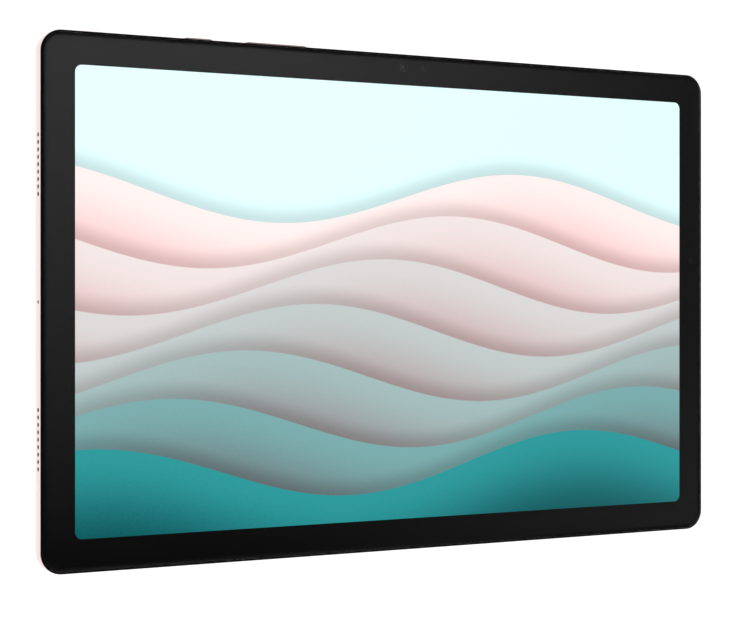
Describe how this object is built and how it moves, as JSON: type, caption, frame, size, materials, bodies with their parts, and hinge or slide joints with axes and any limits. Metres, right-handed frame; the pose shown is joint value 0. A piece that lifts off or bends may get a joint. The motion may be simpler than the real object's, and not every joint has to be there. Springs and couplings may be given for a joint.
{
  "type": "tablet computer",
  "caption": "Thin slab tablet computer with a large landscape screen, metal shell, edge keys, side speakers, card tray, audio and charging sockets.",
  "frame": {"origin": "centre of the flat back face", "axes": "+X along the long side to the charging socket, +Y to the edge with the front camera and the keys, +Z out of the screen"},
  "size_m": [0.2468, 0.1625, 0.0077],
  "materials": {
    "shell_metal": "fine bead-blasted, anodised rose pink",
    "band_plastic": "moulded, tinted to match the metal",
    "frame_plastic": "moulded, satin black",
    "foam_adhesive": "die-cut black foam tape",
    "cover_glass": "polished, with a rounded edge",
    "bezel_print": "black ink under glass",
    "display": "lit colour panel under glass",
    "backlight": "light guide in a white tray",
    "flex_film": "amber polyimide film over copper",
    "graphite": "rolled graphite foil",
    "screw_black": "blackened",
    "screw_steel": "plain, turned",
    "battery_foil": "laminated foil pouch in a dark wrap",
    "circuit_board": "green solder resist",
    "chip_resin": "moulded resin",
    "shield_tin": "pressed and tin plated",
    "connector_metal": "gold-flashed",
    "port_steel": "drawn shell",
    "socket_plastic": "moulded black",
    "contact_gold": "gold-flashed springs",
    "speaker_plastic": "moulded black",
    "speaker_mesh": "black acoustic mesh",
    "pull_adhesive": "white stretch-release tape",
    "camera_black": "satin black",
    "lens_glass": "coated lens",
    "sensor_resin": "dark clear resin",
    "ring_metal": "turned and polished, anodised rose pink",
    "lens_cover_glass": "polished flat",
    "key_metal": "bead-blasted, anodised rose pink",
    "antenna_plastic": "moulded, with a plated aerial trace"
  },
  "bodies": {
    "chassis": {"rear_cover": "shell_metal", "rear_cap_left": "shell_metal", "rear_cap_right": "shell_metal", "antenna_band_left": "band_plastic", "antenna_band_right": "band_plastic", "mid_frame": "frame_plastic", "glass_adhesive": "foam_adhesive", "cover_glass": "cover_glass", "bezel_print": "bezel_print", "lcd_cell": "display", "backlight_unit": "backlight", "display_flex": "flex_film", "graphite_sheet": "graphite", "frame_screws": "screw_black", "board_screws": "screw_steel", "battery_cell_left": "battery_foil", "battery_cell_right": "battery_foil", "battery_board": "circuit_board", "battery_flex": "flex_film", "main_board": "circuit_board", "processor_chip": "chip_resin", "memory_chip": "chip_resin", "power_chip": "chip_resin", "shield_can_processor": "shield_tin", "shield_can_radio": "shield_tin", "board_connectors": "connector_metal", "main_flex_cable": "flex_film", "charging_board": "circuit_board", "usb_c_port": "port_steel", "usb_tongue": "socket_plastic", "headphone_jack": "socket_plastic", "jack_contacts": "contact_gold", "speaker_left_upper": "speaker_plastic", "speaker_left_lower": "speaker_plastic", "speaker_right_upper": "speaker_plastic", "speaker_right_lower": "speaker_plastic", "mesh_left_upper": "speaker_mesh", "mesh_left_lower": "speaker_mesh", "mesh_right_upper": "speaker_mesh", "mesh_right_lower": "speaker_mesh", "microphone": "connector_metal", "battery_adhesive": "pull_adhesive", "front_camera": "camera_black", "front_camera_lens": "lens_glass", "light_sensor_top": "sensor_resin", "light_sensor_side": "sensor_resin", "rear_camera_module": "camera_black", "rear_camera_ring": "ring_metal", "rear_camera_glass": "lens_cover_glass", "key_flex": "flex_film", "key_bracket": "shield_tin", "card_reader": "shield_tin", "antenna_carrier_left": "antenna_plastic", "antenna_carrier_right": "antenna_plastic"},
    "power_button": {"power_key": "key_metal"},
    "volume_rocker": {"volume_key": "key_metal"},
    "tray": {"card_tray": "key_metal"},
    "ejector_rod": {"eject_rod": "screw_steel"},
    "ejector_lever": {"eject_lever": "screw_steel"},
    "focus_group": {"rear_lens_barrel": "camera_black"}
  },
  "joints": [
    {"name": "power_key_press", "type": "slide", "parent": "chassis", "child": "power_button", "axis": [0, -1, 0], "range_m": [0, 0.00035], "stiffness_N_per_m": 300},
    {"name": "volume_key_rock", "type": "hinge", "parent": "chassis", "child": "volume_rocker", "pos_m": [-0.0448, 0.07888, 0.0037], "axis": [0, 0, 1], "range_deg": [-1.3, 1.3], "stiffness_Nm_per_rad": 0.03},
    {"name": "card_tray_slide", "type": "slide", "parent": "chassis", "child": "tray", "axis": [0, 1, 0], "range_m": [0, 0.018]},
    {"name": "eject_rod_push", "type": "slide", "parent": "chassis", "child": "ejector_rod", "axis": [0, -1, 0], "range_m": [0, 0.0015]},
    {"name": "eject_lever_turn", "type": "hinge", "parent": "chassis", "child": "ejector_lever", "pos_m": [0.0729, 0.0594, 0.004], "axis": [0, 0, 1], "range_deg": [-16, 0]},
    {"name": "rear_camera_focus", "type": "slide", "parent": "chassis", "child": "focus_group", "axis": [0, 0, -1], "range_m": [0, 0.00025], "stiffness_N_per_m": 30}
  ],
  "couplings": [
    {"joint": "eject_lever_turn", "follows": "eject_rod_push", "rad_per_m": -174.53}
  ]
}
